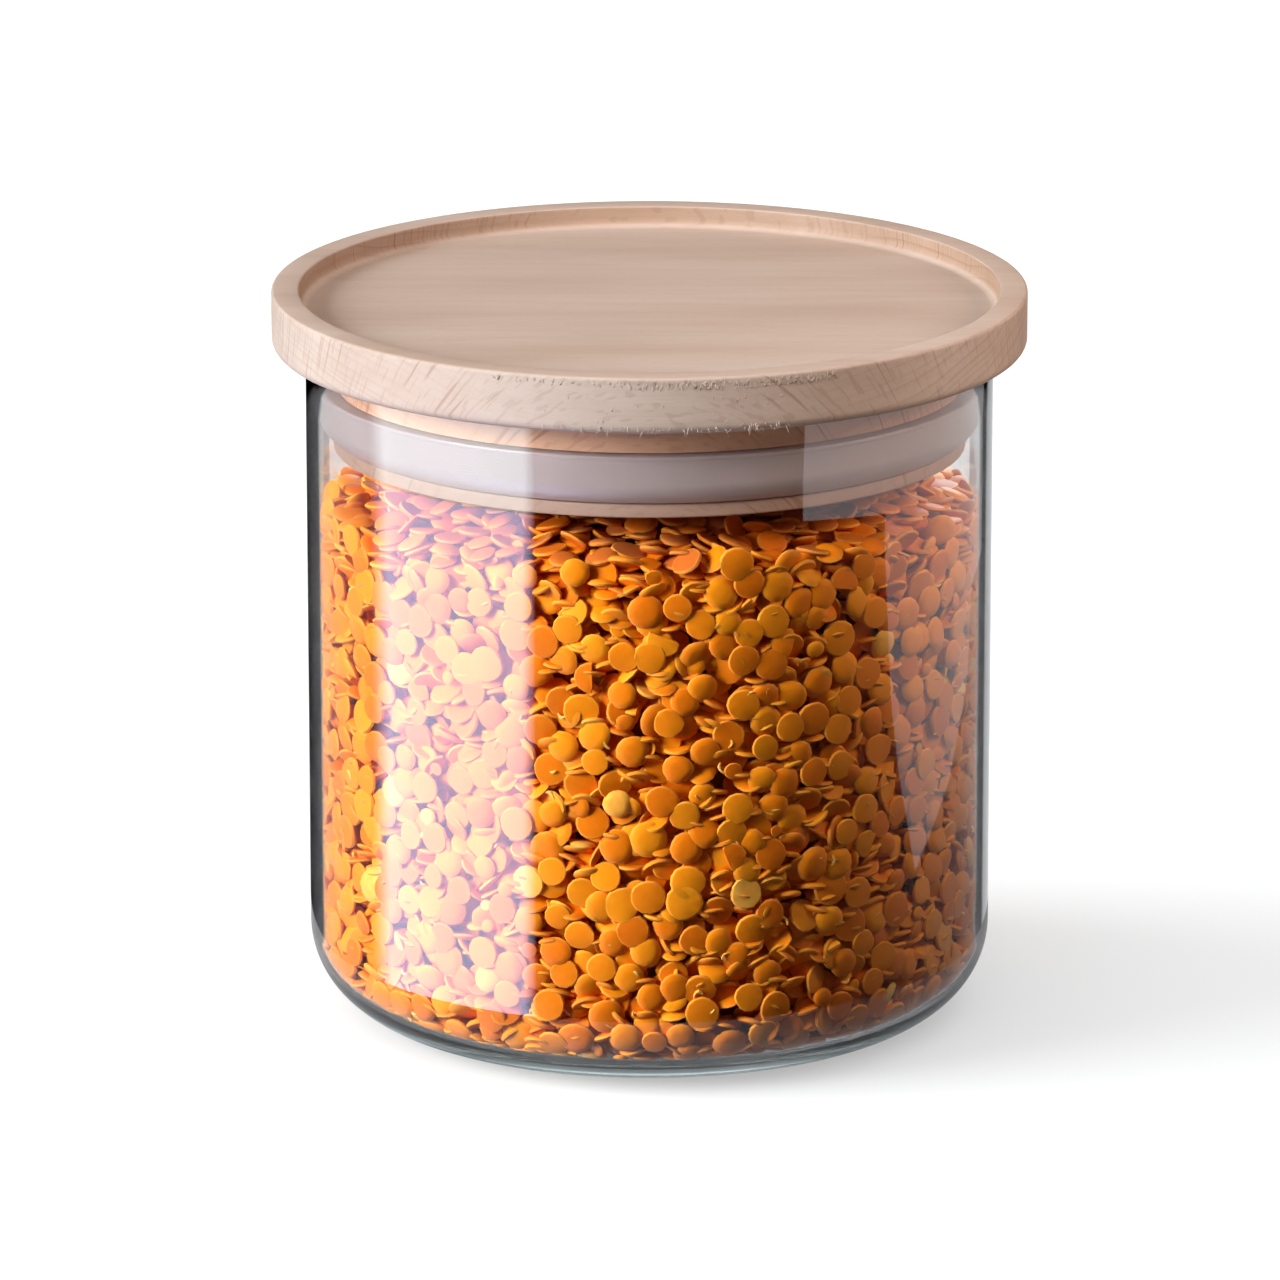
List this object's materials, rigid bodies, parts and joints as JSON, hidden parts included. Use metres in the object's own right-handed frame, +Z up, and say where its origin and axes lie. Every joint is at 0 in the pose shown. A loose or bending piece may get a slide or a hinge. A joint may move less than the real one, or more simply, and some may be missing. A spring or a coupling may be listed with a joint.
{
  "type": "food canister",
  "caption": "Round glass storage jar with a turned wooden plug lid, a silicone sealing ring and a filling of split lentils; its top is recessed for stacking.",
  "frame": {"origin": "centre of the underside of the jar, on the surface it stands on", "axes": "+Z up along the jar's axis; the wood grain of the lid runs along X; the front that the light falls on faces -Y"},
  "size_m": [0.12, 0.12, 0.118],
  "materials": {
    "glass": "clear, polished",
    "beech": "sanded, unvarnished",
    "silicone": "translucent, satin",
    "lentils": "matte"
  },
  "bodies": {
    "jar": {"glass_jar": "glass", "lentil_fill": "lentils"},
    "seal": {"seal_ring": "silicone"},
    "lid": {"lid": "beech"}
  },
  "joints": [
    {"name": "lid_lift", "type": "slide", "parent": "jar", "child": "seal", "axis": [0, 0, 1], "range_m": [0, 0.06]},
    {"name": "lid_turn", "type": "hinge", "parent": "seal", "child": "lid", "pos_m": [0, 0, 0.1], "axis": [0, 0, 1], "continuous": true}
  ]
}
